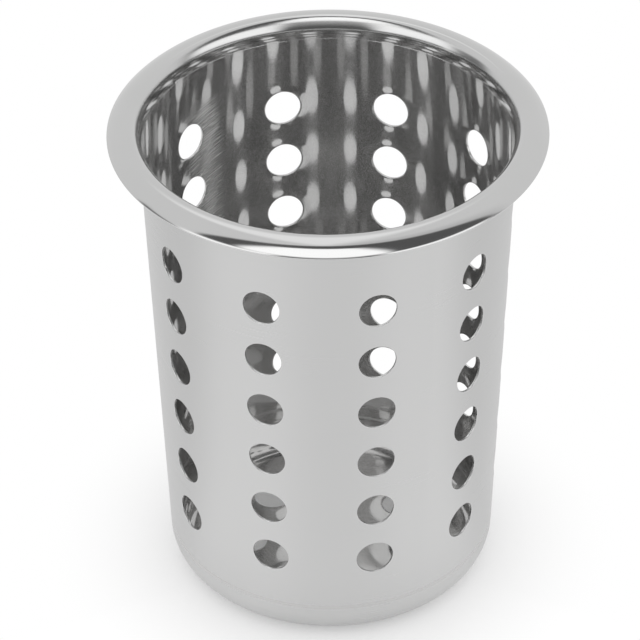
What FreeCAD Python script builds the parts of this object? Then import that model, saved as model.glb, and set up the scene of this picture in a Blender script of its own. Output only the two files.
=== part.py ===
"""Perforated steel utensil holder: a rolled, punched sleeve welded between a spun rim and a pressed base pan.

Frame: millimetres, +Z up along the axis, origin on the axis in the plane that the holder stands on.
The sleeve's lengthwise weld lies in the YZ plane on the +Y side, halfway between two columns of holes.
"""
import FreeCAD, Part
import math
import os
import Sketcher

# Driving dimensions: name, value in millimetres (or a count), meaning
SIZES = (
    ("overall_height", 139.0, "standing plane to the crown of the rim"),
    ("wall_diameter_top", 98.0, "outside of the sleeve at its upper edge"),
    ("wall_diameter_foot", 89.1, "outside of the sleeve at its lower edge"),
    ("sheet_thickness", 0.7, "sheet used for sleeve, rim and pan"),
    ("rim_overhang", 8.0, "reach of the rim's edge beyond the sleeve's upper edge"),
    ("rim_fillet", 2.9, "radius where the bore turns over into the rim"),
    ("rim_collar", 1.6, "straight collar below that radius"),
    ("lip_drop", 2.5, "fall from the rim's crown to its edge"),
    ("base_corner_radius", 9.0, "outside radius between the wall and the floor"),
    ("pan_skirt", 2.0, "straight skirt of the pan above that radius"),
    ("weld_width", 1.2, "gap that each butt weld fills"),
    ("weld_crown", 0.1, "height of a dressed weld above the inside face"),
    ("hole_diameter", 10.0, "punched hole in the wall"),
    ("row_count", 6, "rows of holes"),
    ("column_count", 10, "columns of holes"),
    ("top_row_margin", 21.0, "sleeve's upper edge to the centres of the top row"),
    ("bottom_row_margin", 16.2, "sleeve's lower edge to the centres of the bottom row"),
    ("drain_diameter", 10.0, "drain hole in the floor"),
    ("drain_count", 7, "drain holes round the middle one"),
    ("drain_circle_diameter", 46.0, "circle through the centres of the outer drain holes"),
)

# Levels and radii that follow from the driving dimensions, as expressions on the sheet
PAN_TOP = "(Sizes.base_corner_radius + Sizes.pan_skirt)"
SLEEVE_FOOT = f"({PAN_TOP} + Sizes.weld_width)"
RIM_FOOT = "(Sizes.overall_height - Sizes.rim_fillet - Sizes.rim_collar)"
SLEEVE_TOP = f"({RIM_FOOT} - Sizes.weld_width)"
SLEEVE_HEIGHT = f"({SLEEVE_TOP} - {SLEEVE_FOOT})"
WALL_SLOPE = f"((Sizes.wall_diameter_top - Sizes.wall_diameter_foot) / 2 / {SLEEVE_HEIGHT})"
WALL_LEAN = f"90 deg - atan({WALL_SLOPE})"
LEVEL_GAUGE = f"(Sizes.sheet_thickness * sqrt(1 + {WALL_SLOPE} ^ 2))"
RIM_RADIUS = "(Sizes.wall_diameter_top / 2 + Sizes.rim_overhang)"

doc = FreeCAD.newDocument("utensil_holder")
sheet = doc.addObject("Spreadsheet::Sheet", "Sizes")
for row, (alias, number, meaning) in enumerate(SIZES, start=1):
    sheet.set(f"A{row}", alias)
    sheet.set(f"B{row}", str(number))
    sheet.set(f"C{row}", meaning)
    sheet.setAlias(f"B{row}", alias)
doc.recompute()


def value(expression):
    """Return the number that an expression on the sheet stands for."""
    result = sheet.evalExpression(expression)
    return float(getattr(result, "Value", result))


def outside_radius(level):
    """Return the expression for the wall's outside radius at a level."""
    return f"(Sizes.wall_diameter_foot / 2 + ({level} - {SLEEVE_FOOT}) * {WALL_SLOPE})"


def inside_radius(level):
    """Return the expression for the wall's inside radius at a level."""
    return f"({outside_radius(level)} - {LEVEL_GAUGE})"


def point(across, up):
    """Return a sketch point."""
    return FreeCAD.Vector(across, up, 0)


def line(start, end):
    """Return a straight sketch edge."""
    return Part.LineSegment(start, end)


def arc(centre, radius, start_degrees, end_degrees):
    """Return a sketch arc that runs anticlockwise between two directions."""
    circle = Part.Circle(centre, FreeCAD.Vector(0, 0, 1), radius)
    return Part.ArcOfCircle(circle, math.radians(start_degrees), math.radians(end_degrees))


def new_body(node):
    """Start a sub-part whose label names its file."""
    body = doc.addObject("PartDesign::Body", node)
    body.Label = node
    return body


def origin_feature(body, role):
    """Return one of the body's own origin planes or axes."""
    return next(feature for feature in body.Origin.OriginFeatures if feature.Role == role)


def new_sketch(body, name, plane):
    """Start a sketch on one of the body's origin planes."""
    sketch = body.newObject("Sketcher::SketchObject", name)
    sketch.AttachmentSupport = (origin_feature(body, plane), [""])
    sketch.MapMode = "FlatFace"
    return sketch


def fix(sketch, *terms):
    """Add a geometric constraint."""
    sketch.addConstraint(Sketcher.Constraint(*terms))


def drive(sketch, name, expression, *terms):
    """Add a dimension and bind it to the sheet."""
    index = sketch.addConstraint(Sketcher.Constraint(*terms, value(expression)))
    sketch.renameConstraint(index, name)
    sketch.setExpression(f"Constraints.{name}", expression)


def drive_lean(sketch, edge):
    """Give a straight edge the wall's lean."""
    index = sketch.addConstraint(Sketcher.Constraint("Angle", edge, math.radians(value(WALL_LEAN))))
    sketch.renameConstraint(index, "wall_lean")
    sketch.setExpression("Constraints.wall_lean", WALL_LEAN)


def polygon_sketch(body, name, plane, corners):
    """Draw a closed outline of straight edges whose corners are pairs of expressions."""
    sketch = new_sketch(body, name, plane)
    spots = [point(value(across), value(up)) for across, up in corners]
    for index, spot in enumerate(spots):
        sketch.addGeometry(line(spot, spots[(index + 1) % len(spots)]), False)
    for index, (across, up) in enumerate(corners):
        fix(sketch, "Coincident", index, 2, (index + 1) % len(corners), 1)
        drive(sketch, f"corner_{index}_across", across, "DistanceX", -1, 1, index, 1)
        drive(sketch, f"corner_{index}_up", up, "DistanceY", -1, 1, index, 1)
    return sketch


def revolve(body, sketch, name):
    """Turn a profile once round the axis."""
    turned = body.newObject("PartDesign::Revolution", name)
    turned.Profile = sketch
    turned.ReferenceAxis = (sketch, ["V_Axis"])
    turned.Angle = 360
    doc.recompute()
    return turned


def pocket(body, sketch, name, length, reversed_cut):
    """Cut a profile through the solid to one side of its plane."""
    before = body.Shape.Volume
    cut = body.newObject("PartDesign::Pocket", name)
    cut.Profile = sketch
    cut.Type = "Length"
    cut.Reversed = reversed_cut
    cut.setExpression("Length", length)
    doc.recompute()
    if cut.Shape.Volume >= before:
        raise RuntimeError(f"{name} removes nothing")
    return cut


def polar_pattern(body, name, count):
    """Return a full-circle pattern about the axis."""
    pattern = body.newObject("PartDesign::PolarPattern", name)
    pattern.Axis = (origin_feature(body, "Z_Axis"), [""])
    pattern.Angle = 360
    pattern.setExpression("Occurrences", count)
    return pattern


def make_rim():
    """Spin the rim: collar, turned-over bore and domed flange that falls to a rounded edge."""
    body = new_body("rim_flange")
    sketch = new_sketch(body, "rim_profile", "XZ_Plane")
    height = value("Sizes.overall_height")
    gauge = value("Sizes.sheet_thickness")
    fillet = value("Sizes.rim_fillet")
    foot = value(RIM_FOOT)
    inner = value(inside_radius(RIM_FOOT))
    middle = inner + fillet
    drop = value("Sizes.lip_drop")
    reach = value(RIM_RADIUS) - middle
    dome = (reach ** 2 + drop ** 2) / (2 * drop)
    edge_direction = 90 - math.degrees(math.asin(reach / dome))
    edge_turn = math.radians(edge_direction)
    fillet_centre = point(middle, height - fillet)
    dome_centre = point(middle, height - dome)
    cap_centre = dome_centre + point(math.cos(edge_turn), math.sin(edge_turn)) * (dome - gauge / 2)
    collar_in, fillet_top, dome_top, cap, dome_under, fillet_under, collar_out, weld_face = range(8)
    sketch.addGeometry([
        line(point(inner, foot), point(inner, height - fillet)),
        arc(fillet_centre, fillet, 90, 180),
        arc(dome_centre, dome, edge_direction, 90),
        arc(cap_centre, gauge / 2, edge_direction - 180, edge_direction),
        arc(dome_centre, dome - gauge, edge_direction, 90),
        arc(fillet_centre, fillet - gauge, 90, 180),
        line(point(inner + gauge, height - fillet), point(inner + gauge, foot)),
        line(point(inner + gauge, foot), point(inner, foot)),
    ], False)
    fix(sketch, "Tangent", collar_in, 2, fillet_top, 2)
    fix(sketch, "Tangent", fillet_top, 1, dome_top, 2)
    fix(sketch, "Tangent", dome_top, 1, cap, 2)
    fix(sketch, "Tangent", cap, 1, dome_under, 1)
    fix(sketch, "Tangent", dome_under, 2, fillet_under, 1)
    fix(sketch, "Tangent", fillet_under, 2, collar_out, 1)
    fix(sketch, "Coincident", collar_out, 2, weld_face, 1)
    fix(sketch, "Coincident", weld_face, 2, collar_in, 1)
    fix(sketch, "Coincident", fillet_top, 3, fillet_under, 3)
    fix(sketch, "Coincident", dome_top, 3, dome_under, 3)
    fix(sketch, "Parallel", collar_in, collar_out)
    fix(sketch, "Horizontal", weld_face)
    fix(sketch, "Vertical", fillet_top, 3, dome_top, 3)
    drive(sketch, "fillet", "Sizes.rim_fillet", "Radius", fillet_top)
    drive(sketch, "fillet_under", "Sizes.rim_fillet - Sizes.sheet_thickness", "Radius", fillet_under)
    drive_lean(sketch, collar_in)
    drive(sketch, "collar_radius", outside_radius(RIM_FOOT), "DistanceX", -1, 1, weld_face, 1)
    drive(sketch, "collar_foot", RIM_FOOT, "DistanceY", -1, 1, weld_face, 1)
    drive(sketch, "crown_level", "Sizes.overall_height", "DistanceY", -1, 1, fillet_top, 1)
    drive(sketch, "edge_radius", RIM_RADIUS, "DistanceX", -1, 1, dome_top, 1)
    drive(sketch, "edge_fall", "Sizes.lip_drop", "DistanceY", dome_top, 1, fillet_top, 1)
    revolve(body, sketch, "rim_turned")
    return body


def make_sleeve():
    """Roll the tapered sleeve, leave its lengthwise gap and punch its grid of holes."""
    body = new_body("perforated_sleeve")
    profile = polygon_sketch(body, "sleeve_profile", "XZ_Plane", (
        (inside_radius(SLEEVE_FOOT), SLEEVE_FOOT),
        (outside_radius(SLEEVE_FOOT), SLEEVE_FOOT),
        (outside_radius(SLEEVE_TOP), SLEEVE_TOP),
        (inside_radius(SLEEVE_TOP), SLEEVE_TOP),
    ))
    revolve(body, profile, "sleeve_rolled")
    seam = polygon_sketch(body, "seam_gap", "XZ_Plane", (
        ("-Sizes.weld_width / 2", SLEEVE_FOOT),
        ("Sizes.weld_width / 2", SLEEVE_FOOT),
        ("Sizes.weld_width / 2", SLEEVE_TOP),
        ("-Sizes.weld_width / 2", SLEEVE_TOP),
    ))
    pocket(body, seam, "seam_cut", "Sizes.wall_diameter_top", False)
    punch = new_sketch(body, "punch", "YZ_Plane")
    punch.AttachmentOffset = FreeCAD.Placement(FreeCAD.Vector(), FreeCAD.Rotation(FreeCAD.Vector(0, 1, 0), 1))
    punch.setExpression("AttachmentOffset.Rotation.Angle", "90 deg - 180 deg / Sizes.column_count")
    first_row = f"({SLEEVE_FOOT} + Sizes.bottom_row_margin)"
    circle = Part.Circle(point(0, value(first_row)), FreeCAD.Vector(0, 0, 1), value("Sizes.hole_diameter / 2"))
    punch.addGeometry(circle, False)
    fix(punch, "PointOnObject", 0, 3, -2)
    drive(punch, "row_level", first_row, "DistanceY", -1, 1, 0, 3)
    drive(punch, "hole", "Sizes.hole_diameter", "Diameter", 0)
    doc.recompute()
    hole = pocket(body, punch, "first_hole", "Sizes.wall_diameter_top", True)
    grid = body.newObject("PartDesign::MultiTransform", "hole_grid")
    rows = body.newObject("PartDesign::LinearPattern", "hole_rows")
    rows.Direction = (punch, ["V_Axis"])
    rows.setExpression("Length", f"{SLEEVE_HEIGHT} - Sizes.top_row_margin - Sizes.bottom_row_margin")
    rows.setExpression("Occurrences", "Sizes.row_count")
    columns = polar_pattern(body, "hole_columns", "Sizes.column_count")
    grid.Originals = [hole]
    grid.Transformations = [rows, columns]
    body.Tip = grid
    doc.recompute()
    return body


def make_pan():
    """Press the base pan: flat floor, rounded corner and short skirt, with drain holes."""
    body = new_body("base_pan")
    sketch = new_sketch(body, "pan_profile", "XZ_Plane")
    gauge = value("Sizes.sheet_thickness")
    corner = value("Sizes.base_corner_radius")
    top = value(PAN_TOP)
    outer = value(outside_radius(PAN_TOP))
    flat = outer - corner
    centre = point(flat, corner)
    floor_under, corner_out, skirt_out, weld_face, skirt_in, corner_in, floor_top, middle = range(8)
    sketch.addGeometry([
        line(point(0, 0), point(flat, 0)),
        arc(centre, corner, 270, 360),
        line(point(outer, corner), point(outer, top)),
        line(point(outer, top), point(outer - gauge, top)),
        line(point(outer - gauge, top), point(outer - gauge, corner)),
        arc(centre, corner - gauge, 270, 360),
        line(point(flat, gauge), point(0, gauge)),
        line(point(0, gauge), point(0, 0)),
    ], False)
    fix(sketch, "Tangent", floor_under, 2, corner_out, 1)
    fix(sketch, "Tangent", corner_out, 2, skirt_out, 1)
    fix(sketch, "Tangent", skirt_in, 2, corner_in, 2)
    fix(sketch, "Tangent", corner_in, 1, floor_top, 1)
    fix(sketch, "Coincident", skirt_out, 2, weld_face, 1)
    fix(sketch, "Coincident", weld_face, 2, skirt_in, 1)
    fix(sketch, "Coincident", floor_top, 2, middle, 1)
    fix(sketch, "Coincident", middle, 2, floor_under, 1)
    fix(sketch, "Coincident", floor_under, 1, -1, 1)
    fix(sketch, "Coincident", corner_out, 3, corner_in, 3)
    fix(sketch, "Parallel", skirt_out, skirt_in)
    fix(sketch, "Horizontal", floor_under)
    fix(sketch, "Horizontal", floor_top)
    fix(sketch, "Horizontal", weld_face)
    fix(sketch, "Vertical", middle)
    drive(sketch, "corner", "Sizes.base_corner_radius", "Radius", corner_out)
    drive(sketch, "corner_inside", "Sizes.base_corner_radius - Sizes.sheet_thickness", "Radius", corner_in)
    drive_lean(sketch, skirt_out)
    drive(sketch, "skirt_radius", outside_radius(PAN_TOP), "DistanceX", -1, 1, weld_face, 1)
    drive(sketch, "skirt_level", PAN_TOP, "DistanceY", -1, 1, weld_face, 1)
    revolve(body, sketch, "pan_pressed")
    middle_drain = new_sketch(body, "middle_drain", "XY_Plane")
    drain_radius = value("Sizes.drain_diameter / 2")
    middle_drain.addGeometry(Part.Circle(point(0, 0), FreeCAD.Vector(0, 0, 1), drain_radius), False)
    fix(middle_drain, "Coincident", 0, 3, -1, 1)
    drive(middle_drain, "drain", "Sizes.drain_diameter", "Diameter", 0)
    pocket(body, middle_drain, "middle_drain_hole", "Sizes.sheet_thickness", True)
    outer_drain = new_sketch(body, "outer_drain", "XY_Plane")
    ring = value("Sizes.drain_circle_diameter / 2")
    outer_drain.addGeometry(Part.Circle(point(ring, 0), FreeCAD.Vector(0, 0, 1), drain_radius), False)
    fix(outer_drain, "PointOnObject", 0, 3, -1)
    drive(outer_drain, "ring", "Sizes.drain_circle_diameter / 2", "DistanceX", -1, 1, 0, 3)
    drive(outer_drain, "drain", "Sizes.drain_diameter", "Diameter", 0)
    drain = pocket(body, outer_drain, "outer_drain_hole", "Sizes.sheet_thickness", True)
    drains = polar_pattern(body, "drain_ring", "Sizes.drain_count")
    drains.Originals = [drain]
    body.Tip = drains
    doc.recompute()
    return body


def make_ring_weld(node, foot):
    """Fill the level gap above a foot level with a ring that stands a little proud inside."""
    body = new_body(node)
    top = f"({foot} + Sizes.weld_width)"
    profile = polygon_sketch(body, f"{node}_profile", "XZ_Plane", (
        (f"{inside_radius(foot)} - Sizes.weld_crown", foot),
        (outside_radius(foot), foot),
        (outside_radius(top), top),
        (f"{inside_radius(top)} - Sizes.weld_crown", top),
    ))
    revolve(body, profile, f"{node}_bead")
    return body


def make_seam_weld():
    """Fill the sleeve's lengthwise gap with a strip that stands a little proud inside."""
    body = new_body("side_seam_weld")
    profile = polygon_sketch(body, "seam_profile", "YZ_Plane", (
        (f"{inside_radius(SLEEVE_FOOT)} - Sizes.weld_crown", SLEEVE_FOOT),
        (outside_radius(SLEEVE_FOOT), SLEEVE_FOOT),
        (outside_radius(SLEEVE_TOP), SLEEVE_TOP),
        (f"{inside_radius(SLEEVE_TOP)} - Sizes.weld_crown", SLEEVE_TOP),
    ))
    bead = body.newObject("PartDesign::Pad", "seam_bead")
    bead.Profile = profile
    bead.SideType = "Symmetric"
    bead.setExpression("Length", "Sizes.weld_width")
    doc.recompute()
    return body


def check(bodies):
    """Stop unless every object is sound and every sub-part is one valid solid."""
    for item in doc.Objects:
        if "Invalid" in item.State or "Error" in item.State:
            raise RuntimeError(f"{item.Name} failed: {item.State}")
    for body in bodies:
        if body.Shape.isNull() or not body.Shape.isValid() or len(body.Shape.Solids) != 1:
            raise RuntimeError(f"{body.Label} is not one valid solid")


def main():
    """Build the sub-parts, check them and write one file for each."""
    bodies = [
        make_rim(),
        make_sleeve(),
        make_pan(),
        make_ring_weld("rim_weld", SLEEVE_TOP),
        make_ring_weld("base_weld", PAN_TOP),
        make_seam_weld(),
    ]
    doc.recompute()
    check(bodies)
    os.makedirs("parts", exist_ok=True)
    for body in bodies:
        body.Shape.exportStep(f"parts/{body.Label}.step")
        print(f"{body.Label}: {body.Shape.Volume:.1f} mm3, {len(body.Shape.Faces)} faces")


main()
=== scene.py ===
"""Perforated steel utensil holder: its finished pieces, their steel, and a plain studio round them.

Frame: metres, +Z up along the axis, origin on the axis in the plane that the holder stands on.
The sleeve's lengthwise weld lies on the +Y side, halfway between two columns of holes.
"""

import logging
import math
from abc import ABC, abstractmethod
from collections.abc import Sequence
from dataclasses import dataclass
from enum import Enum

import bmesh
import bpy
from bmesh.types import BMesh, BMFace, BMVert
from bpy.types import Material, Mesh, Node, NodeSocket, NodeTree, Object
from mathutils import Matrix, Vector


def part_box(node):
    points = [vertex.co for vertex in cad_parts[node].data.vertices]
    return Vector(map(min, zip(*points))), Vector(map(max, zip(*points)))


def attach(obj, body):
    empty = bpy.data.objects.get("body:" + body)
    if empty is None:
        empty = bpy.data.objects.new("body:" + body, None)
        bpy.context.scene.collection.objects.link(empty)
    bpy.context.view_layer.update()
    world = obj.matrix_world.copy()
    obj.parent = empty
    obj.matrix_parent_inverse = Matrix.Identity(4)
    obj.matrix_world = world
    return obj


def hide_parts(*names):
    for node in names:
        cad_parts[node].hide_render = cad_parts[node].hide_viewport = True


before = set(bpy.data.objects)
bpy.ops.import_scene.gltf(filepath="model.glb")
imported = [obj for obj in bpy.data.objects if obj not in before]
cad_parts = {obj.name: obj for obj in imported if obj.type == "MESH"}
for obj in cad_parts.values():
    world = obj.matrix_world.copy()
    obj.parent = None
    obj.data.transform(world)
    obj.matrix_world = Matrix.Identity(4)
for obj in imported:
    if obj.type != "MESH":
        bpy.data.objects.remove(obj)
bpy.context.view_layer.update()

MM = 0.001
MERGE_DISTANCE = 0.001 * MM
LEVEL_SLACK = 0.001 * MM
SHARP_ANGLE = math.radians(35.0)
TURN = 2.0 * math.pi
QUARTER_TURN = 0.25
NOISE_LOW = 0.3
NOISE_HIGH = 0.7
AXIS = Vector((0.0, 0.0, 1.0))
ORIGIN = Vector((0.0, 0.0, 0.0))
BODY = "root"
LOG = logging.getLogger("utensil_holder")

Tone = tuple[float, float, float]
Way = tuple[float, float, float]
Inputs = dict[str | int, object]


class GrainRun(Enum):
    """Direction in which the polishing lines of a finish run."""

    ROUND = "round the axis"
    UP = "up the wall"


class SlotName(Enum):
    """Material slots of the record."""

    WALL = "wall_steel"
    BRIGHT = "bright_steel"
    WELD = "weld_steel"


class NodeBench:
    """Adds and joins shader nodes of one node tree."""

    def __init__(self, tree: NodeTree) -> None:
        """Take over an empty node tree."""
        self.tree = tree
        self.tree.nodes.clear()

    def put(self, value: object, socket: NodeSocket) -> None:
        """Set a socket to a plain value, or link another socket to it."""
        if isinstance(value, NodeSocket):
            self.tree.links.new(value, socket)
        else:
            socket.default_value = value

    def add(self, kind: str, inputs: Inputs | None = None, **settings: object) -> Node:
        """Add a node.

        Args:
            kind: Blender's name of the node type.
            inputs: values or sockets for its inputs, by name or number.
            settings: properties of the node itself.

        Returns:
            The new node.
        """
        node = self.tree.nodes.new(kind)
        for name, setting in settings.items():
            setattr(node, name, setting)
        for key, value in (inputs or {}).items():
            self.put(value, node.inputs[key])
        return node

    def math(self, operation: str, *terms: object) -> NodeSocket:
        """Return the result of a Math node on the given terms."""
        return self.add("ShaderNodeMath", dict(enumerate(terms)), operation=operation).outputs[0]

    def vector(self, operation: str, *terms: object) -> NodeSocket:
        """Return the result of a Vector Math node on the given terms."""
        node = self.add("ShaderNodeVectorMath", dict(enumerate(terms)), operation=operation)
        return node.outputs["Value" if operation in ("LENGTH", "DOT_PRODUCT") else "Vector"]

    def blend(self, share: object, first: object, second: object) -> NodeSocket:
        """Return a colour between two colours."""
        node = self.add("ShaderNodeMix", data_type="RGBA")
        colour_inputs = [socket for socket in node.inputs if socket.type == "RGBA"]
        self.put(share, node.inputs["Factor"])
        self.put(first, colour_inputs[0])
        self.put(second, colour_inputs[1])
        return next(socket for socket in node.outputs if socket.type == "RGBA")

    def ramp(self, value: object, low: float, high: float, start: float = 0.0, end: float = 1.0) -> object:
        """Return a value moved smoothly from the range low to high onto start to end."""
        inputs = {"Value": value, "From Min": low, "From Max": high, "To Min": start, "To Max": end}
        node = self.add("ShaderNodeMapRange", inputs, interpolation_type="SMOOTHSTEP")
        return node.outputs["Result"]

    def band(self, value: object, low: float, high: float, fade: float) -> NodeSocket:
        """Return 1 between two values and 0 beyond them, with soft ends."""
        rise = self.ramp(value, low - fade, low + fade)
        drop = self.ramp(value, high + fade, high - fade)
        return self.math("MULTIPLY", rise, drop)

    def noise(self, vector: object, scale: float, detail: float) -> NodeSocket:
        """Return a noise value on a vector."""
        inputs = {"Vector": vector, "Scale": scale, "Detail": detail}
        return self.add("ShaderNodeTexNoise", inputs).outputs["Fac"]


@dataclass(frozen=True)
class DressingMarks:
    """Slanting strokes that an abrasive pad left on the bore beside the lengthwise weld."""

    side_from: float
    side_to: float
    level_from: float
    level_to: float
    slant: float = math.radians(15.0)
    stroke_pitch: float = 0.35 * MM
    stroke_length: float = 9.0 * MM
    stroke_from: float = 0.5
    stroke_to: float = 0.68
    fade: float = 3.0 * MM
    ground: float = 0.3

    def share(self, bench: NodeBench, place: NodeSocket) -> NodeSocket:
        """Return how strongly a spot is marked.

        Args:
            bench: node tree to add to.
            place: spot in the object's frame.

        Returns:
            A value from 0, plain, over the dressed ground to 1, on a stroke.
        """
        axes = bench.add("ShaderNodeSeparateXYZ", {0: place})
        across = bench.band(axes.outputs[0], self.side_from, self.side_to, self.fade)
        upright = bench.band(axes.outputs[2], self.level_from, self.level_to, self.fade)
        patch = bench.math("MULTIPLY", across, upright)
        patch = bench.math("MULTIPLY", patch, bench.math("GREATER_THAN", axes.outputs[1], 0.0))
        turning = {"Vector": place, "Angle": self.slant}
        turned = bench.add("ShaderNodeVectorRotate", turning, rotation_type="Y_AXIS").outputs[0]
        stretch = (1.0 / self.stroke_length, 0.0, 1.0 / self.stroke_pitch)
        strokes = bench.noise(bench.vector("MULTIPLY", turned, stretch), 1.0, 1.0)
        marked = bench.ramp(strokes, self.stroke_from, self.stroke_to, self.ground, 1.0)
        return bench.math("MULTIPLY", patch, marked)


@dataclass(frozen=True)
class SteelFinish:
    """Stainless steel with fine polishing lines, faint clouds and a trace of waviness.

    Lines that run round the axis may draw reflections out across them. A brushed band may lie at some radii.
    """

    name: str
    tone: Tone
    roughness: float
    grain: GrainRun
    tone_swing: float = 0.03
    roughness_swing: float = 0.03
    cloud_size: float = 22.0 * MM
    grain_pitch: float = 0.25 * MM
    grain_length: float = 18.0 * MM
    grain_depth: float = 0.0004 * MM
    drawn_out: float = 0.0
    wave_size: float = 14.0 * MM
    wave_depth: float = 0.01 * MM
    haze: float = 0.0
    haze_size: float = 0.08 * MM
    haze_from: float = 0.55
    haze_to: float = 0.65
    marks: DressingMarks | None = None
    mark_depth: float = 0.003 * MM
    mark_roughness: float = 0.45
    mark_tone: Tone = (0.95, 0.95, 0.94)
    brushed_from: float = 0.0
    brushed_to: float = 0.0
    brushed_fade: float = 0.3 * MM
    brushed_roughness: float = 0.0

    @staticmethod
    def axis_distance(bench: NodeBench, place: NodeSocket) -> NodeSocket:
        """Return a spot's distance from the axis."""
        return bench.vector("LENGTH", bench.vector("MULTIPLY", place, (1.0, 1.0, 0.0)))

    def grain_vector(self, bench: NodeBench, place: NodeSocket) -> NodeSocket:
        """Return coordinates that are short across the polishing lines and long along them."""
        across, along = 1.0 / self.grain_pitch, 1.0 / self.grain_length
        if self.grain is GrainRun.UP:
            return bench.vector("MULTIPLY", place, (across, across, along))
        axes = bench.add("ShaderNodeSeparateXYZ", {0: place})
        lines = bench.math("ADD", self.axis_distance(bench, place), axes.outputs[2])
        spread = (
            bench.math("MULTIPLY", axes.outputs[0], along),
            bench.math("MULTIPLY", axes.outputs[1], along),
            bench.math("MULTIPLY", lines, across),
        )
        return bench.add("ShaderNodeCombineXYZ", dict(enumerate(spread))).outputs[0]

    def material(self) -> Material:
        """Return the finish as a node material on object coordinates."""
        material = bpy.data.materials.new(self.name)
        material.use_nodes = True
        bench = NodeBench(material.node_tree)
        place = bench.add("ShaderNodeTexCoord").outputs["Object"]
        clouds = bench.noise(place, 1.0 / self.cloud_size, 4.0)
        grain = bench.noise(self.grain_vector(bench, place), 1.0, 3.0)
        waves = bench.noise(place, 1.0 / self.wave_size, 1.0)
        dark = tuple(part * (1.0 - self.tone_swing) for part in self.tone) + (1.0,)
        light = tuple(part * (1.0 + self.tone_swing) for part in self.tone) + (1.0,)
        colour = bench.blend(clouds, dark, light)
        low, high = self.roughness - self.roughness_swing, self.roughness + self.roughness_swing
        mixed = bench.math("ADD", bench.math("MULTIPLY", clouds, 0.5), bench.math("MULTIPLY", grain, 0.5))
        roughness = bench.ramp(mixed, NOISE_LOW, NOISE_HIGH, low, high)
        if self.haze > 0.0:
            spots = bench.noise(place, 1.0 / self.haze_size, 0.0)
            specks = bench.ramp(spots, self.haze_from, self.haze_to)
            roughness = bench.math("ADD", roughness, bench.math("MULTIPLY", specks, self.haze))
        if self.brushed_roughness > 0.0:
            radius = self.axis_distance(bench, place)
            brushed = bench.band(radius, self.brushed_from, self.brushed_to, self.brushed_fade)
            roughness = bench.math("ADD", roughness, bench.math("MULTIPLY", brushed, self.brushed_roughness))
        wavy = bench.add("ShaderNodeBump", {"Strength": 1.0, "Distance": self.wave_depth, "Height": waves})
        lined = {"Strength": 1.0, "Distance": self.grain_depth, "Height": grain, "Normal": wavy.outputs[0]}
        normal = bench.add("ShaderNodeBump", lined).outputs[0]
        if self.marks is not None:
            strokes = self.marks.share(bench, place)
            colour = bench.blend(strokes, colour, self.mark_tone + (1.0,))
            roughness = bench.math("ADD", roughness, bench.math("MULTIPLY", strokes, self.mark_roughness))
            scored = {"Strength": 1.0, "Distance": self.mark_depth, "Height": strokes, "Normal": normal}
            normal = bench.add("ShaderNodeBump", scored).outputs[0]
        looks = {"Base Color": colour, "Metallic": 1.0, "Roughness": roughness, "Normal": normal}
        if self.drawn_out > 0.0:
            looks["Tangent"] = bench.vector("CROSS_PRODUCT", tuple(AXIS), place)
            looks["Anisotropic"] = self.drawn_out
            looks["Anisotropic Rotation"] = QUARTER_TURN
        steel = bench.add("ShaderNodeBsdfPrincipled", looks)
        bench.add("ShaderNodeOutputMaterial", {"Surface": steel.outputs[0]})
        return material


SATIN_WALL = SteelFinish("satin_wall", (0.615, 0.615, 0.613), 0.30, GrainRun.ROUND, tone_swing=0.02)
PUNCHED_EDGE = SteelFinish("punched_edge", (0.640, 0.640, 0.638), 0.20, GrainRun.UP)
BRIGHT_RIM = SteelFinish(
    "bright_rim",
    (0.630, 0.630, 0.628),
    0.09,
    GrainRun.ROUND,
    roughness_swing=0.02,
    brushed_from=48.7 * MM,
    brushed_to=49.9 * MM,
    brushed_roughness=0.12,
)
POLISHED_BORE = SteelFinish(
    "polished_bore",
    (0.600, 0.598, 0.594),
    0.05,
    GrainRun.ROUND,
    roughness_swing=0.02,
    drawn_out=0.9,
    haze=0.35,
    marks=DressingMarks(-15.0 * MM, -4.0 * MM, 78.0 * MM, 122.0 * MM),
)
DRESSED_WELD = SteelFinish(
    "dressed_weld", (0.595, 0.592, 0.588), 0.22, GrainRun.ROUND, grain_depth=0.001 * MM
)


def node_reach(node: str, level: float) -> float:
    """Return how far a CAD node's vertices at one level lie from the axis."""
    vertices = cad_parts[node].data.vertices
    return max(vertex.co.xy.length for vertex in vertices if abs(vertex.co.z - level) < LEVEL_SLACK)


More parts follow.
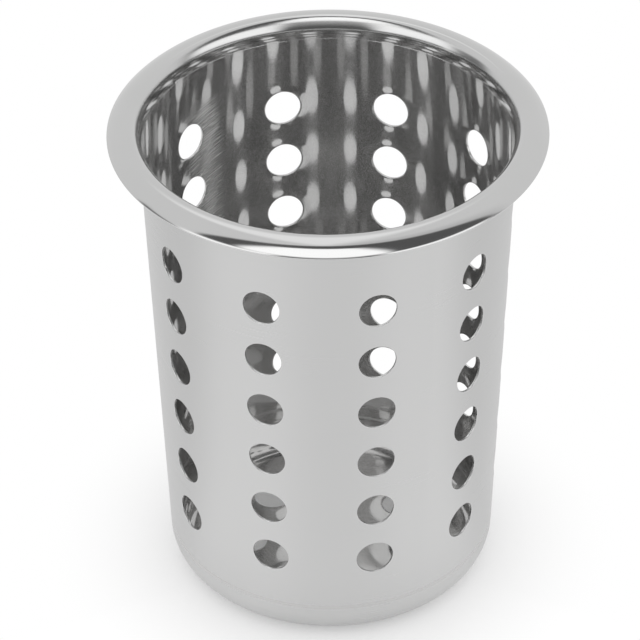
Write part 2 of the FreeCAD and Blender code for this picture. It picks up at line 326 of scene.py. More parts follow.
@dataclass(frozen=True)
class Wall:
    """The tapered line that sleeve, rim collar, pan skirt and welds follow."""

    foot: float
    top: float
    foot_radius: float
    top_radius: float
    sheet: float = 0.7 * MM
    neck_foot: float = 115.0 * MM
    neck_bend: float = 1.49

    @classmethod
    def from_frame(cls) -> "Wall":
        """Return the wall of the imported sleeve."""
        low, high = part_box("perforated_sleeve")
        foot_radius = node_reach("perforated_sleeve", low.z)
        return cls(low.z, high.z, foot_radius, node_reach("perforated_sleeve", high.z))

    @property
    def slope(self) -> float:
        """Return the growth of the radius for each metre upwards."""
        return (self.top_radius - self.foot_radius) / (self.top - self.foot)

    @property
    def lean(self) -> float:
        """Return the wall's angle to the axis."""
        return math.atan(self.slope)

    @property
    def level_sheet(self) -> float:
        """Return the sheet's thickness measured level."""
        return self.sheet / math.cos(self.lean)

    def slope_at(self, level: float) -> float:
        """Return the slope at a level; it eases off in the neck below the rim."""
        return self.slope - self.neck_bend * max(0.0, level - self.neck_foot)

    def outside(self, level: float) -> float:
        """Return the outside radius at a level."""
        pull = self.neck_bend / 2.0 * max(0.0, level - self.neck_foot) ** 2
        return self.foot_radius + (level - self.foot) * self.slope - pull

    def inside(self, level: float) -> float:
        """Return the inside radius at a level."""
        return self.outside(level) - self.level_sheet

    def spot(self, turn: float, level: float, depth: float) -> Vector:
        """Return a spot of the wall.

        Args:
            turn: angle round the axis from +X.
            level: height above the standing plane.
            depth: distance below the outside face, along the sheet's normal.

        Returns:
            The spot in the object's frame.
        """
        radius = self.outside(level) - depth / math.cos(self.lean)
        return Vector((radius * math.cos(turn), radius * math.sin(turn), level))

    def depth(self, place: Vector) -> float:
        """Return how deep a spot lies below the outside face."""
        return (self.outside(place.z) - place.xy.length) * math.cos(self.lean)

    def shade(self, mesh: Mesh) -> None:
        """Give the flat parts of both faces the normals of the true wall."""
        normals = []
        for vertex in mesh.vertices:
            depth = self.depth(vertex.co)
            if depth < LEVEL_SLACK:
                normals.append(self.outward(vertex.co))
            elif depth > self.sheet - LEVEL_SLACK:
                normals.append(-self.outward(vertex.co))
            else:
                normals.append(vertex.normal.copy())
        mesh.normals_split_custom_set_from_vertices(normals)

    def outward(self, place: Vector) -> Vector:
        """Return the outside face's normal at a spot."""
        across = place.xy.normalized()
        return Vector((across.x, across.y, -self.slope_at(place.z))).normalized()


class ProfilePen:
    """Draws a section of edges in the XZ plane, one stroke after the other."""

    def __init__(self, bm: BMesh, radius: float, level: float) -> None:
        """Set the pen down at a radius and a level."""
        self.bm = bm
        self.first = bm.verts.new((radius, 0.0, level))
        self.tip = self.first
        self.drawn: list[BMVert] = [self.first]

    def line(self, radius: float, level: float) -> None:
        """Draw a straight stroke to a radius and a level."""
        made = bmesh.ops.extrude_vert_indiv(self.bm, verts=[self.tip])
        self.tip = made["verts"][0]
        self.tip.co = (radius, 0.0, level)
        self.drawn.append(self.tip)

    def arc(self, centre: tuple[float, float], sweep: float, steps: int, stretch: float = 1.0) -> None:
        """Draw an arc about a centre.

        Args:
            centre: radius and level of the arc's centre.
            sweep: angle to turn through before the stretch, positive from the radius towards up.
            steps: number of edges.
            stretch: how much taller than wide the arc's ellipse is.
        """
        before = set(self.bm.verts) - {self.tip}
        space = Matrix.Translation((-centre[0], 0.0, -centre[1]))
        bmesh.ops.scale(self.bm, vec=(1.0, 1.0, 1.0 / stretch), space=space, verts=[self.tip])
        made = bmesh.ops.spin(
            self.bm,
            geom=[self.tip],
            cent=(centre[0], 0.0, centre[1]),
            axis=(0.0, -1.0, 0.0),
            angle=sweep,
            steps=steps,
            use_merge=False,
        )
        fresh = [vert for vert in self.bm.verts if vert not in before]
        bmesh.ops.scale(self.bm, vec=(1.0, 1.0, stretch), space=space, verts=fresh)
        self.drawn.extend(vert for vert in fresh if vert != self.tip)
        self.tip = next(item for item in made["geom_last"] if isinstance(item, BMVert))

    def close(self) -> None:
        """Draw a straight stroke back to the start."""
        self.bm.edges.new((self.tip, self.first))

    def spin(self, steps: int) -> None:
        """Turn the section once round the axis."""
        own = set(self.drawn)
        edges = [edge for edge in self.bm.edges if set(edge.verts) <= own]
        geom = self.drawn + edges
        bmesh.ops.spin(self.bm, geom=geom, cent=ORIGIN, axis=AXIS, angle=TURN, steps=steps, use_merge=True)


@dataclass(frozen=True)
class PunchedCell:
    """A flat patch of sheet round one punched hole, with both faces and the hole's rounded edges.

    The patch lies in the XY plane with its outside face at Z 0 and its thickness below.
    """

    hole_radius: float
    sheet: float
    edge_round: float = 0.15 * MM
    round_steps: int = 3
    dip_depth: float = 0.05 * MM
    dip_width: float = 2.5 * MM
    dip_shares: tuple[float, ...] = (0.12, 0.26, 0.42, 0.6, 0.8, 1.0)
    face_shares: tuple[float, ...] = (0.25, 0.5, 0.75, 1.0)

    @staticmethod
    def grow(bm: BMesh, ring: Sequence[BMVert], spots: Sequence[Vector]) -> list[BMVert]:
        """Extrude a closed ring of edges onto new spots.

        Args:
            bm: mesh to add to.
            ring: vertices of the ring, in order.
            spots: one new place for each of them.

        Returns:
            The new ring, in the same order.
        """
        following = list(ring[1:]) + [ring[0]]
        edges = [bm.edges.get(pair) for pair in zip(ring, following)]
        made = bmesh.ops.extrude_edge_only(bm, edges=edges)["geom"]
        fresh = {item for item in made if isinstance(item, BMVert)}
        grown = []
        for vert, spot in zip(ring, spots):
            new = next(edge.other_vert(vert) for edge in vert.link_edges if edge.other_vert(vert) in fresh)
            new.co = spot
            grown.append(new)
        return grown

    def dip(self, away: float) -> float:
        """Return how far the punch drew the inner face down at a distance from the hole's edge."""
        return self.dip_depth * max(0.0, 1.0 - away / self.dip_width) ** 2

    def face(
        self, bm: BMesh, ring: Sequence[BMVert], centre: Vector, border: Sequence[Vector], outside: bool
    ) -> None:
        """Grow one face of the patch from the hole's edge to the border.

        Args:
            bm: mesh to add to.
            ring: ring at the end of the hole's wall.
            centre: middle of the hole.
            border: outline of the patch, as many points as the ring has.
            outside: True for the outside face.
        """
        ways = [Vector((vert.co.x - centre.x, vert.co.y - centre.y, 0.0)).normalized() for vert in ring]

        def circle(radius: float, depth: float) -> list[Vector]:
            """Return a ring of spots round the hole."""
            return [Vector((centre.x, centre.y, -depth)) + way * radius for way in ways]

        rim = self.hole_radius + self.edge_round
        flat_depth = 0.0 if outside else self.sheet
        edge_depth = 0.0 if outside else self.sheet - self.dip_depth
        towards = 1.0 if outside else -1.0
        for step in range(1, self.round_steps + 1):
            bend = math.pi / 2 * step / self.round_steps
            depth = edge_depth + towards * self.edge_round * (1.0 - math.sin(bend))
            ring = self.grow(bm, ring, circle(rim - self.edge_round * math.cos(bend), depth))
        for share in self.dip_shares:
            away = share * self.dip_width
            depth = 0.0 if outside else self.sheet - self.dip(away)
            ring = self.grow(bm, ring, circle(rim + away, depth))
        inner = circle(rim + self.dip_width, flat_depth)
        level_border = [Vector((spot.x, spot.y, -flat_depth)) for spot in border]
        for share in self.face_shares:
            ring = self.grow(bm, ring, [near.lerp(far, share) for near, far in zip(inner, level_border)])

    def punch(self, bm: BMesh, centre: Vector, border: Sequence[Vector]) -> list[BMVert]:
        """Add a patch to a mesh.

        Args:
            bm: mesh to add to.
            centre: middle of the hole.
            border: outline of the patch, anticlockwise.

        Returns:
            The patch's vertices.
        """
        before = set(bm.verts)
        start = math.atan2(border[0].y - centre.y, border[0].x - centre.x)
        shift = Matrix.Translation(Vector((centre.x, centre.y, -self.edge_round)))
        place = shift @ Matrix.Rotation(start, 4, "Z")
        made = bmesh.ops.create_circle(bm, cap_ends=False, radius=self.hole_radius, segments=len(border))
        ring = sorted(made["verts"], key=lambda vert: math.atan2(vert.co.y, vert.co.x) % TURN)
        bmesh.ops.rotate(bm, verts=ring, cent=ORIGIN, matrix=self.to_first(ring[0]))
        bmesh.ops.transform(bm, matrix=place, verts=ring)
        self.face(bm, ring, centre, border, True)
        wall_depth = self.sheet - self.dip_depth - 2.0 * self.edge_round
        lower = [vert.co - Vector((0.0, 0.0, wall_depth)) for vert in ring]
        self.face(bm, self.grow(bm, ring, lower), centre, border, False)
        return [vert for vert in bm.verts if vert not in before]

    @staticmethod
    def to_first(vert: BMVert) -> Matrix:
        """Return the turn that brings a vertex onto the +X direction."""
        return Matrix.Rotation(-math.atan2(vert.co.y, vert.co.x), 3, "Z")


def repeat_round(bm: BMesh, geom: list, count: int) -> None:
    """Repeat geometry round the axis until there are count evenly spaced copies."""
    angle = TURN * (count - 1) / count
    bmesh.ops.spin(
        bm, geom=geom, cent=ORIGIN, axis=AXIS, angle=angle, steps=count - 1, use_duplicate=True
    )


def straight(start: Vector, end: Vector, count: int) -> list[Vector]:
    """Return evenly spaced points from a start up to, and without, an end."""
    return [start.lerp(end, index / count) for index in range(count)]


def curved(radius: float, start: float, end: float, count: int) -> list[Vector]:
    """Return points on a circle about the origin from one turn up to, and without, another."""
    turns = [start + (end - start) * index / count for index in range(count)]
    return [Vector((radius * math.cos(turn), radius * math.sin(turn), 0.0)) for turn in turns]


class SteelPiece(ABC):
    """A finished piece that stands for one CAD node."""

    name: str
    node: str
    slot: SlotName
    finishes: tuple[SteelFinish, ...]

    @abstractmethod
    def model(self, bm: BMesh) -> None:
        """Model the piece in a mesh."""

    def finish_index(self, face: BMFace) -> int:
        """Return which of the piece's finishes a face has."""
        return 0

    def shade(self, mesh: Mesh) -> None:
        """Refine the mesh's shading."""

    def dress(self, piece: Object, steels: dict[str, Material]) -> None:
        """Give the piece its finishes."""
        for finish in self.finishes:
            piece.data.materials.append(steels[finish.name])

    def build(self, steels: dict[str, Material]) -> Object:
        """Make the piece and put it in the place of its CAD node.

        Args:
            steels: materials by the name of their finish.

        Returns:
            The piece's object.
        """
        bm = bmesh.new()
        self.model(bm)
        bmesh.ops.remove_doubles(bm, verts=bm.verts[:], dist=MERGE_DISTANCE)
        bmesh.ops.recalc_face_normals(bm, faces=bm.faces[:])
        for face in bm.faces:
            face.smooth = True
            face.material_index = self.finish_index(face)
        for edge in bm.edges:
            edge.smooth = edge.calc_face_angle(0.0) < SHARP_ANGLE
        mesh = bpy.data.meshes.new(self.name)
        bm.to_mesh(mesh)
        open_edges = sum(1 for edge in bm.edges if not edge.is_manifold)
        bm.free()
        self.shade(mesh)
        piece = bpy.data.objects.new(self.name, mesh)
        bpy.context.scene.collection.objects.link(piece)
        self.dress(piece, steels)
        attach(piece, BODY)
        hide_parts(self.node)
        LOG.info("%s: %d faces, %d open edges", self.name, len(mesh.polygons), open_edges)
        return piece


@dataclass(frozen=True)
class Mouth:
    """The curve by which the bore turns over into the rim: a quarter of an upright ellipse."""

    foot: float
    crown: float
    bore: float
    middle: float

    @property
    def centre(self) -> tuple[float, float]:
        """Return the radius and level of the ellipse's centre."""
        return self.middle, self.foot

    @property
    def stretch(self) -> float:
        """Return how much taller than wide the ellipse is."""
        return (self.crown - self.foot) / (self.middle - self.bore)

    def turn(self, level: float) -> float:
        """Return the angle from the foot to a level, before the stretch."""
        return math.asin((level - self.foot) / (self.crown - self.foot))

    def radius(self, level: float) -> float:
        """Return the curve's radius at a level."""
        return self.middle - (self.middle - self.bore) * math.cos(self.turn(level))

    def beneath(self, sheet: float) -> "Mouth":
        """Return the curve of the sheet's other face."""
        return Mouth(self.foot, self.crown - sheet, self.bore + sheet, self.middle)


@dataclass
class Rim(SteelPiece):
    """Spun rim: turned-over bore and a domed flange that falls to a straight lip with a rounded edge."""

    mouth: Mouth
    sheet: float
    foot: float
    reach: float
    fall: float = math.radians(48.0)
    lip: float = 0.35 * MM
    steps: int = 240
    mouth_steps: int = 28
    dome_steps: int = 12
    edge_steps: int = 10
    under_dome_steps: int = 10
    under_mouth_steps: int = 14
    name: str = "rim"
    node: str = "rim_flange"
    slot: SlotName = SlotName.BRIGHT
    finishes: tuple[SteelFinish, ...] = (BRIGHT_RIM,)

    def model(self, bm: BMesh) -> None:
        """Draw the rim's section and spin it."""
        mouth, under = self.mouth, self.mouth.beneath(self.sheet)
        fall, quarter, half = self.fall, math.pi / 2.0, self.sheet / 2.0
        lip_reach, lip_drop = self.lip * math.cos(fall), self.lip * math.sin(fall)
        bend = (self.reach - half - mouth.middle - lip_reach) / math.sin(fall)
        dome_centre = (mouth.middle, mouth.crown - half - bend)
        dome_end = (mouth.middle + bend * math.sin(fall), dome_centre[1] + bend * math.cos(fall))
        cap_centre = (dome_end[0] + lip_reach, dome_end[1] - lip_drop)
        pen = ProfilePen(bm, mouth.radius(self.foot), self.foot)
        pen.arc(mouth.centre, mouth.turn(self.foot) - quarter, self.mouth_steps, mouth.stretch)
        pen.arc(dome_centre, -fall, self.dome_steps)
        pen.line(cap_centre[0] + half * math.sin(fall), cap_centre[1] + half * math.cos(fall))
        pen.arc(cap_centre, -math.pi, self.edge_steps)
        pen.line(dome_end[0] - half * math.sin(fall), dome_end[1] - half * math.cos(fall))
        pen.arc(dome_centre, fall, self.under_dome_steps)
        pen.arc(under.centre, quarter - under.turn(self.foot), self.under_mouth_steps, under.stretch)
        pen.close()
        pen.spin(self.steps)


@dataclass
class Sleeve(SteelPiece):
    """Rolled, tapered sheet with a punched grid of holes and an open lengthwise gap."""

    wall: Wall
    seam_gap: float
    hole_radius: float = 5.0 * MM
    rows: int = 6
    columns: int = 10
    top_margin: float = 21.0 * MM
    bottom_margin: float = 16.2 * MM
    cell_steps_across: int = 16
    cell_steps_up: int = 8
    broken_edge: float = 0.2 * MM
    broken_steps: int = 3
    name: str = "sleeve"
    node: str = "perforated_sleeve"
    slot: SlotName = SlotName.WALL
    finishes: tuple[SteelFinish, ...] = (SATIN_WALL, POLISHED_BORE, PUNCHED_EDGE)

    @property
    def pitch(self) -> float:
        """Return the distance between rows."""
        return (self.wall.top - self.wall.foot - self.top_margin - self.bottom_margin) / (self.rows - 1)

    @property
    def cell(self) -> PunchedCell:
        """Return the patch round one hole."""
        return PunchedCell(self.hole_radius, self.wall.sheet)

    def model(self, bm: BMesh) -> None:
        """Punch one column of patches, roll it, repeat it round the axis and close the sheet's edges."""
        for row in range(self.rows):
            level = self.wall.foot + self.bottom_margin + row * self.pitch
            radius = self.wall.outside(level)
            half = math.pi / self.columns * radius
            low = -self.bottom_margin if row == 0 else -self.pitch / 2.0
            high = self.top_margin if row == self.rows - 1 else self.pitch / 2.0
            patch = self.cell.punch(bm, ORIGIN, self.border(half, low, high))
            for vert in patch:
                vert.co = self.wall.spot(vert.co.x / radius, level + vert.co.y, -vert.co.z)
        repeat_round(bm, bm.verts[:] + bm.edges[:] + bm.faces[:], self.columns)
        self.part_seam(bm)
        bmesh.ops.remove_doubles(bm, verts=bm.verts[:], dist=MERGE_DISTANCE)
        bmesh.ops.bridge_loops(bm, edges=[edge for edge in bm.edges if edge.is_boundary])
        edges = [edge for edge in bm.edges if all(self.on_mouth(vert) for vert in edge.verts)]
        bmesh.ops.bevel(
            bm,
            geom=edges,
            offset=self.broken_edge,
            affect="EDGES",
            segments=self.broken_steps,
            profile=0.5,
            material=-1,
        )

    def on_mouth(self, vert: BMVert) -> bool:
        """Return whether a vertex lies on the inner edge at the top."""
        deep = self.wall.depth(vert.co) > self.wall.sheet - LEVEL_SLACK
        return deep and vert.co.z > self.wall.top - LEVEL_SLACK

    def border(self, half: float, low: float, high: float) -> list[Vector]:
        """Return a patch's outline, from its lower right corner and anticlockwise."""
        spots = ((half, low), (half, high), (-half, high), (-half, low))
        corners = [Vector((side, level, 0.0)) for side, level in spots]
        counts = (self.cell_steps_up, self.cell_steps_across) * 2
        sides = zip(corners, corners[1:] + corners[:1], counts)
        return [spot for start, end, count in sides for spot in straight(start, end, count)]

    def part_seam(self, bm: BMesh) -> None:
        """Move the two edges that meet on the +Y side apart by the weld's gap."""
        for vert in bm.verts:
            if abs(vert.co.x) < MERGE_DISTANCE and vert.co.y > 0.0:
                side = math.copysign(self.seam_gap / 2.0, vert.link_faces[0].calc_center_median().x)
                vert.co = (side, math.sqrt(vert.co.y**2 - side**2), vert.co.z)

    def finish_index(self, face: BMFace) -> int:
        """Return 0 outside, 1 inside and 2 on the edges of holes and sheet."""
        depths = [self.wall.depth(vert.co) for vert in face.verts]
        if max(depths) < LEVEL_SLACK:
            return 0
        return 1 if min(depths) > self.wall.sheet - self.cell.dip_depth - LEVEL_SLACK else 2

    def shade(self, mesh: Mesh) -> None:
        """Give both faces the normals of the true wall."""
        self.wall.shade(mesh)


@dataclass
class Pan(SteelPiece):
    """Pressed pan: drained flat floor, rounded corner and a short skirt."""

    wall: Wall
    top: float
    corner: float = 9.0 * MM
    drain_radius: float = 5.0 * MM
    drain_ring: float = 23.0 * MM
    drains: int = 7
    middle_edge: float = 11.0 * MM
    drained_edge: float = 33.0 * MM
    name: str = "pan"
    node: str = "base_pan"
    slot: SlotName = SlotName.WALL
    finishes: tuple[SteelFinish, ...] = (SATIN_WALL, POLISHED_BORE)
    steps: int = 154
    middle_steps: int = 56
    side_steps: int = 8
    corner_steps: int = 18

    @property
    def corner_centre(self) -> tuple[float, float]:
        """Return the radius and level of the corner's centre."""
        return self.wall.outside(self.corner) - self.corner / math.cos(self.wall.lean), self.corner

    def model(self, bm: BMesh) -> None:
        """Punch the floor, then draw the corner with its skirt and spin it."""
        self.floor(bm)
        sheet, centre = self.wall.sheet, self.corner_centre
        quarter = math.pi / 2.0 - self.wall.lean
        pen = ProfilePen(bm, self.drained_edge, 0.0)
        pen.line(centre[0], 0.0)
        pen.arc(centre, quarter, self.corner_steps)
        pen.line(self.wall.outside(self.top), self.top)
        pen.line(self.wall.inside(self.top), self.top)
        inner = self.corner - sheet
        pen.line(centre[0] + inner * math.cos(self.wall.lean), centre[1] - inner * math.sin(self.wall.lean))
        pen.arc(centre, -quarter, self.corner_steps)
        pen.line(self.drained_edge, sheet)
        pen.spin(self.steps)

    def floor(self, bm: BMesh) -> None:
        """Add the floor's punched patches, with the underside at level 0."""
        cell = PunchedCell(self.drain_radius, self.wall.sheet)
        half = math.pi / self.drains
        middle_border = curved(self.middle_edge, 0.0, TURN, self.middle_steps)
        cell.punch(bm, ORIGIN, middle_border)
        sector = self.sector_border(half)
        first = cell.punch(bm, Vector((self.drain_ring, 0.0, 0.0)), sector)
        edges = {edge for vert in first for edge in vert.link_edges}
        faces = {face for vert in first for face in vert.link_faces}
        repeat_round(bm, first + list(edges) + list(faces), self.drains)
        bmesh.ops.scale(bm, vec=(1.0, 1.0, -1.0), verts=bm.verts[:])

    def sector_border(self, half: float) -> list[Vector]:
        """Return the outline of an outer drain's patch, anticlockwise from its outer right corner."""
        outer_count = self.steps // self.drains
        inner_count = self.middle_steps // self.drains
        ways = [Vector((math.cos(turn), math.sin(turn), 0.0)) for turn in (-half, half)]
        right, left = [(way * self.middle_edge, way * self.drained_edge) for way in ways]
        return (
            curved(self.drained_edge, -half, half, outer_count)
            + straight(left[1], left[0], self.side_steps)
            + curved(self.middle_edge, half, -half, inner_count)
            + straight(right[0], right[1], self.side_steps)
        )

    def finish_index(self, face: BMFace) -> int:
        """Return 0 on the outside and underside and 1 inside."""
        place = face.calc_center_median()
        radius, centre = place.xy.length, self.corner_centre
        if place.z > centre[1]:
            return 0 if self.wall.depth(place) < self.wall.sheet / 2.0 else 1
        if radius < centre[0]:
            return 0 if place.z < self.wall.sheet / 2.0 else 1
        reach = math.hypot(radius - centre[0], place.z - centre[1])
        return 0 if reach > self.corner - self.wall.sheet / 2.0 else 1


@dataclass
class BaseWeld(SteelPiece):
    """Level butt weld between pan and sleeve, flush outside and slightly crowned inside."""

    wall: Wall
    foot: float
    top: float
    crown: float = 0.015 * MM
    name: str = "base_bead"
    node: str = "base_weld"
    slot: SlotName = SlotName.WELD
    finishes: tuple[SteelFinish, ...] = (DRESSED_WELD,)
    steps: int = 240
    crown_steps: int = 8

    def model(self, bm: BMesh) -> None:
        """Draw the weld's section and spin it."""
        across = self.wall.inside(self.top) - self.wall.inside(self.foot)
        half = math.hypot(self.top - self.foot, across) / 2.0
        radius = (half**2 + self.crown**2) / (2.0 * self.crown)
        level = (self.foot + self.top) / 2.0
        away = radius - self.crown
        lean = self.wall.lean
        centre = (self.wall.inside(level) + away * math.cos(lean), level - away * math.sin(lean))
        pen = ProfilePen(bm, self.wall.inside(self.foot), self.foot)
        pen.arc(centre, -2.0 * math.asin(half / radius), self.crown_steps)
        pen.line(self.wall.outside(self.top), self.top)
        pen.line(self.wall.outside(self.foot), self.foot)
        pen.close()
        pen.spin(self.steps)


@dataclass
class RimWeld(SteelPiece):
    """Level butt weld between sleeve and rim, ground to the first part of the mouth's curve."""

    mouth: Mouth
    sheet: float
    top: float
    name: str = "rim_bead"
    node: str = "rim_weld"
    slot: SlotName = SlotName.WELD
    finishes: tuple[SteelFinish, ...] = (POLISHED_BORE,)
    steps: int = 240
    curve_steps: int = 6

    def model(self, bm: BMesh) -> None:
        """Draw the weld's section and spin it."""
        mouth, under = self.mouth, self.mouth.beneath(self.sheet)
        pen = ProfilePen(bm, mouth.bore, mouth.foot)
        pen.arc(mouth.centre, -mouth.turn(self.top), self.curve_steps, mouth.stretch)
        pen.line(under.radius(self.top), self.top)
        pen.arc(under.centre, under.turn(self.top), self.curve_steps, under.stretch)
        pen.close()
        pen.spin(self.steps)


@dataclass
class SeamWeld(SteelPiece):
    """Lengthwise butt weld of the sleeve, ground flush on both sides."""

    wall: Wall
    width: float
    name: str = "seam_bead"
    node: str = "side_seam_weld"
    slot: SlotName = SlotName.WELD
    finishes: tuple[SteelFinish, ...] = (DRESSED_WELD, POLISHED_BORE)
    cuts_across: int = 3
    cuts_up: int = 47

    def model(self, bm: BMesh) -> None:
        """Cut a block into a fine strip and bend it onto the wall."""
        bmesh.ops.create_cube(bm, size=1.0)
        for axis, cuts in ((2, self.cuts_up), (0, self.cuts_across)):
            edges = [edge for edge in bm.edges if abs(edge.verts[0].co[axis] - edge.verts[1].co[axis]) > 0.5]
            bmesh.ops.subdivide_edges(bm, edges=edges, cuts=cuts, use_grid_fill=True)
        wall = self.wall
        for vert in bm.verts:
            side, level = vert.co.x * self.width, wall.foot + (vert.co.z + 0.5) * (wall.top - wall.foot)
            radius = wall.outside(level) if vert.co.y > 0.0 else wall.inside(level)
            vert.co = (side, math.sqrt(radius**2 - side**2), level)

    def finish_index(self, face: BMFace) -> int:
        """Return 0 on the outside and the ends and 1 on the inside."""
        return 1 if min(self.wall.depth(vert.co) for vert in face.verts) > self.wall.sheet / 2.0 else 0

    def shade(self, mesh: Mesh) -> None:
        """Give both faces the normals of the true wall."""
        self.wall.shade(mesh)


@dataclass(frozen=True)
class SkyEdge:
    """A soft straight edge of a studio panel, as seen from the object.

    Azimuths are measured from the camera's side, positive to its right, and elevations from the floor.
    """

    way: Way
    start: float
    soft: float

    @classmethod
    def above(cls, elevation: float, soft: float = 0.06) -> "SkyEdge":
        """Return the lower edge of a panel."""
        return cls((0.0, 0.0, 1.0), math.sin(math.radians(elevation)), soft)

    @classmethod
    def below(cls, elevation: float, soft: float = 0.06) -> "SkyEdge":
        """Return the upper edge of a panel."""
        return cls((0.0, 0.0, -1.0), -math.sin(math.radians(elevation)), soft)

    @classmethod
    def under(cls, azimuth: float, elevation: float, soft: float = 0.05) -> "SkyEdge":
        """Return the sloping upper edge of a panel, by the direction in which it is highest."""
        turn, rise = math.radians(azimuth), math.radians(elevation)
        way = (math.sin(rise) * math.sin(turn), -math.sin(rise) * math.cos(turn), -math.cos(rise))
        return cls(way, 0.0, soft)

    @classmethod
    def right_of(cls, azimuth: float, soft: float = 0.06, lean: float = 0.0) -> "SkyEdge":
        """Return the left edge of a panel, which may lean outwards from straight up."""
        turn, tilt = math.radians(azimuth), math.radians(lean)
        way = (math.cos(turn) * math.cos(tilt), math.sin(turn) * math.cos(tilt), math.sin(tilt))
        return cls(way, 0.0, soft)

    @classmethod
    def left_of(cls, azimuth: float, soft: float = 0.06) -> "SkyEdge":
        """Return the right edge of a panel."""
        turn = math.radians(azimuth)
        return cls((-math.cos(turn), -math.sin(turn), 0.0), 0.0, soft)

    def share(self, bench: NodeBench, way: NodeSocket) -> NodeSocket:
        """Return 1 for a direction inside the edge and 0 outside it."""
        near = bench.vector("DOT_PRODUCT", way, self.way)
        return bench.ramp(near, self.start - self.soft, self.start + self.soft)


@dataclass(frozen=True)
class SkyPanel:
    """A patch of the studio round the object: light wall, softbox or dark gap."""

    level: float
    edges: tuple[SkyEdge, ...]

    def cover(self, bench: NodeBench, way: NodeSocket, behind: object) -> NodeSocket:
        """Lay the panel over what is behind it.

        Args:
            bench: node tree to add to.
            way: direction, turned so that -Y points to the camera's side.
            behind: light level behind the panel.

        Returns:
            The light level with the panel.
        """
        share: object = 1.0
        for edge in self.edges:
            share = bench.math("MULTIPLY", share, edge.share(bench, way))
        rest = bench.math("MULTIPLY", bench.math("SUBTRACT", 1.0, share), behind)
        return bench.math("ADD", rest, bench.math("MULTIPLY", share, self.level))


BACK_GLOW = SkyPanel(1.12, (SkyEdge.right_of(167.0), SkyEdge.left_of(-157.5, 0.05), SkyEdge.above(45.0)))
RIGHT_SHADE = SkyPanel(0.68, (SkyEdge.right_of(-90.0, 0.12, 12.0), SkyEdge.right_of(-25.0, 0.12)))
DARK_FRONT = SkyPanel(0.12, (SkyEdge.right_of(-90.0, 0.04, 2.0), SkyEdge.right_of(-70.6, 0.04, 4.6)))
LEFT_GAP = SkyPanel(0.2, (SkyEdge.right_of(-103.0), SkyEdge.left_of(-75.0), SkyEdge.below(24.0, 0.08)))
FRONT_HAZE = SkyPanel(
    0.46,
    (
        SkyEdge.right_of(-20.0, 0.22),
        SkyEdge.left_of(20.0, 0.22),
        SkyEdge.above(22.0, 0.22),
        SkyEdge.below(58.0),
    ),
)
LEFT_SOFTBOX = SkyPanel(
    1.40,
    (
        SkyEdge.right_of(-78.0, 0.12),
        SkyEdge.left_of(-27.0, 0.1),
        SkyEdge.above(6.0),
        SkyEdge.under(-35.0, 43.5),
    ),
)
RIGHT_SOFTBOX = SkyPanel(
    1.40,
    (
        SkyEdge.right_of(27.0, 0.1),
        SkyEdge.left_of(85.0, 0.12),
        SkyEdge.above(6.0),
        SkyEdge.under(35.0, 42.0),
    ),
)
TOP_SOFTBOX = SkyPanel(
    1.52,
    (
        SkyEdge.right_of(-53.0),
        SkyEdge.left_of(36.0),
        SkyEdge.above(44.0, 0.05),
        SkyEdge.right_of(-90.0, 0.03, -10.0),
    ),
)
# Painted pools of light on the floor: in the steel its glow is brighter to the left and right, a little less
# in front, least at the sides and back.
FRONT_PAINTED_POOL = SkyPanel(0.92, (SkyEdge.right_of(-60.0, 0.3), SkyEdge.left_of(60.0, 0.3)))
LEFT_PAINTED_POOL = SkyPanel(1.01, (SkyEdge.right_of(-75.0, 0.3), SkyEdge.left_of(-20.0, 0.3)))
RIGHT_PAINTED_POOL = SkyPanel(1.01, (SkyEdge.right_of(26.0, 0.3), SkyEdge.left_of(76.0, 0.3)))


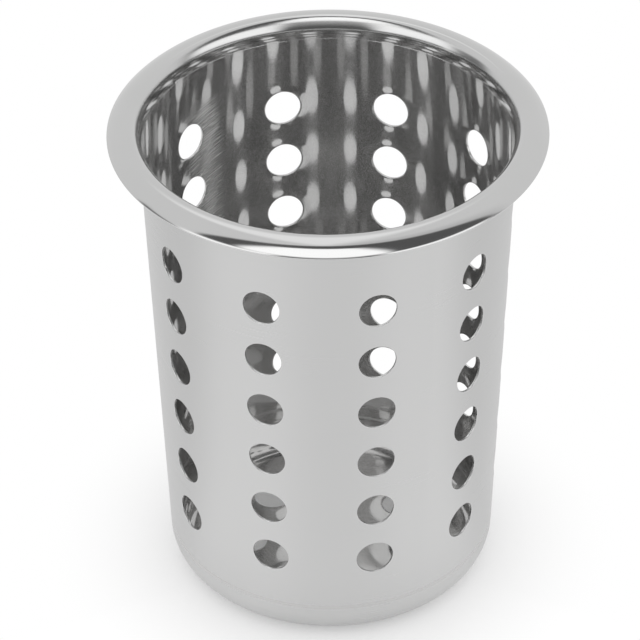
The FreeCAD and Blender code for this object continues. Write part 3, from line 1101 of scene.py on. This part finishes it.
@dataclass
class Studio:
    """Pale floor whose glow in the steel carries painted pools of light, soft studio round the object, and
    the camera.
    """

    azimuth: float = -32.9
    elevation: float = 36.87
    distance: float = 1004.7 * MM
    target_level: float = 74.7 * MM
    target_side: float = -2.54 * MM
    roll: float = 0.6
    lens: float = 211.08
    sensor: float = 36.0
    nearest: float = 10.0 * MM
    bounces: int = 16
    glossy_bounces: int = 14
    floor_half: float = 6.0
    floor_drop: float = 0.02 * MM
    floor_tone: Tone = (0.97, 0.97, 0.97)
    floor_level: float = 0.83
    shade_from: float = 20.0 * MM
    shade_to: float = 80.0 * MM
    wall_level: float = 0.84
    # Painted pools of light laid on the floor's glow.
    painted_pools: tuple[SkyPanel, ...] = (FRONT_PAINTED_POOL, LEFT_PAINTED_POOL, RIGHT_PAINTED_POOL)
    panels: tuple[SkyPanel, ...] = (
        BACK_GLOW,
        RIGHT_SHADE,
        DARK_FRONT,
        LEFT_GAP,
        FRONT_HAZE,
        LEFT_SOFTBOX,
        RIGHT_SOFTBOX,
        TOP_SOFTBOX,
    )

    def build(self) -> None:
        """Set up floor, sky, camera and the render's light paths."""
        self.lay_floor()
        self.hang_sky()
        self.stand_camera()
        scene = bpy.context.scene
        scene.view_settings.view_transform = "Standard"
        scene.cycles.max_bounces = self.bounces
        scene.cycles.glossy_bounces = self.glossy_bounces

    def lay_floor(self) -> None:
        """Lay the pale floor just below the standing plane; away from the object it glows, and in the steel
        that glow carries painted pools of light.
        """
        bm = bmesh.new()
        bmesh.ops.create_grid(bm, x_segments=2, y_segments=2, size=self.floor_half)
        bmesh.ops.translate(bm, vec=(0.0, 0.0, -self.floor_drop), verts=bm.verts[:])
        mesh = bpy.data.meshes.new("floor")
        bm.to_mesh(mesh)
        bm.free()
        floor = bpy.data.objects.new("floor", mesh)
        bpy.context.scene.collection.objects.link(floor)
        material = bpy.data.materials.new("pale_floor")
        material.use_nodes = True
        bench = NodeBench(material.node_tree)
        rays = bench.add("ShaderNodeLightPath").outputs
        place = bench.add("ShaderNodeTexCoord").outputs["Object"]
        away = bench.vector("LENGTH", place)
        seen = bench.math("ADD", rays["Is Glossy Ray"], rays["Is Transmission Ray"])
        seen = bench.math("ADD", rays["Is Camera Ray"], seen)
        glow = bench.math("MULTIPLY", seen, bench.ramp(away, self.shade_from, self.shade_to))
        # Painted pools of light: the glow that reflected rays see changes with direction round the object.
        painted_pool_glow = self.cover(bench, self.floor_level, self.painted_pools, place)
        level = bench.math("MAXIMUM", rays["Is Camera Ray"], painted_pool_glow)
        matt = bench.add("ShaderNodeBsdfDiffuse", {"Color": self.floor_tone + (1.0,)})
        white = bench.add("ShaderNodeEmission", {"Color": (1.0, 1.0, 1.0, 1.0), "Strength": level})
        mixed = bench.add("ShaderNodeMixShader", {0: glow, 1: matt.outputs[0], 2: white.outputs[0]})
        bench.add("ShaderNodeOutputMaterial", {"Surface": mixed.outputs[0]})
        mesh.materials.append(material)

    def cover(
        self, bench: NodeBench, level: object, panels: Sequence[SkyPanel], way: NodeSocket
    ) -> object:
        """Lay panels over a plain level.

        Args:
            bench: node tree to add to.
            level: light level without the panels.
            panels: panels from back to front.
            way: direction from the object, of any length.

        Returns:
            The light level in that direction.
        """
        turn = {"Vector": way, "Angle": -math.radians(self.azimuth)}
        turned = bench.add("ShaderNodeVectorRotate", turn, rotation_type="Z_AXIS").outputs[0]
        unit = bench.vector("NORMALIZE", turned)
        for panel in panels:
            level = panel.cover(bench, unit, level)
        return level

    def hang_sky(self) -> None:
        """Surround the object with a white studio whose panels show in polished steel."""
        world = bpy.data.worlds.new("studio")
        bpy.context.scene.world = world
        world.use_nodes = True
        bench = NodeBench(world.node_tree)
        way = bench.add("ShaderNodeTexCoord").outputs["Generated"]
        level = self.cover(bench, self.wall_level, self.panels, way)
        glossy = bench.add("ShaderNodeLightPath").outputs["Is Glossy Ray"]
        studio = bench.add("ShaderNodeBackground", {"Color": (1.0, 1.0, 1.0, 1.0), "Strength": level})
        white = bench.add("ShaderNodeBackground", {"Color": (1.0, 1.0, 1.0, 1.0), "Strength": 1.0})
        mixed = bench.add("ShaderNodeMixShader", {0: glossy, 1: white.outputs[0], 2: studio.outputs[0]})
        bench.add("ShaderNodeOutputWorld", {"Surface": mixed.outputs[0]})

    def stand_camera(self) -> None:
        """Stand the camera where the photograph was taken from."""
        turn, rise = math.radians(self.azimuth), math.radians(self.elevation)
        right = Vector((math.cos(turn), math.sin(turn), 0.0))
        back = Vector((math.sin(turn) * math.cos(rise), -math.cos(turn) * math.cos(rise), math.sin(rise)))
        aim = Vector((0.0, 0.0, self.target_level))
        data = bpy.data.cameras.new("camera")
        data.lens = self.lens
        data.sensor_width = self.sensor
        data.clip_start = self.nearest
        camera = bpy.data.objects.new("camera", data)
        camera.location = aim + back * self.distance
        look = aim + right * self.target_side - camera.location
        facing = look.to_track_quat("-Z", "Y").to_matrix().to_4x4()
        camera.rotation_euler = (facing @ Matrix.Rotation(math.radians(-self.roll), 4, "Z")).to_euler()
        bpy.context.scene.collection.objects.link(camera)
        bpy.context.scene.camera = camera


@dataclass
class UtensilHolder:
    """The whole holder, piece by piece."""

    wall: Wall
    mouth_reach: float = 3.15 * MM

    def pieces(self) -> list[SteelPiece]:
        """Return the holder's pieces from the floor up."""
        wall, sheet = self.wall, self.wall.sheet
        pan_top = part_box("base_pan")[1].z
        rim_low, rim_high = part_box("rim_flange")
        bore = wall.inside(wall.top)
        mouth = Mouth(wall.top, rim_high.z, bore, bore + self.mouth_reach)
        return [
            Pan(wall, pan_top),
            BaseWeld(wall, pan_top, wall.foot),
            Sleeve(wall, wall.foot - pan_top),
            SeamWeld(wall, wall.foot - pan_top),
            RimWeld(mouth, sheet, rim_low.z),
            Rim(mouth, sheet, rim_low.z, rim_high.x),
        ]

    def build(self) -> None:
        """Make the steels and every piece."""
        finishes = (SATIN_WALL, PUNCHED_EDGE, BRIGHT_RIM, POLISHED_BORE, DRESSED_WELD)
        steels = {finish.name: finish.material() for finish in finishes}
        for piece in self.pieces():
            piece.build(steels)


def main() -> None:
    """Build the holder and its studio."""
    logging.basicConfig(level=logging.INFO, format="%(name)s: %(message)s")
    UtensilHolder(Wall.from_frame()).build()
    Studio().build()


if __name__ == "__main__":
    main()
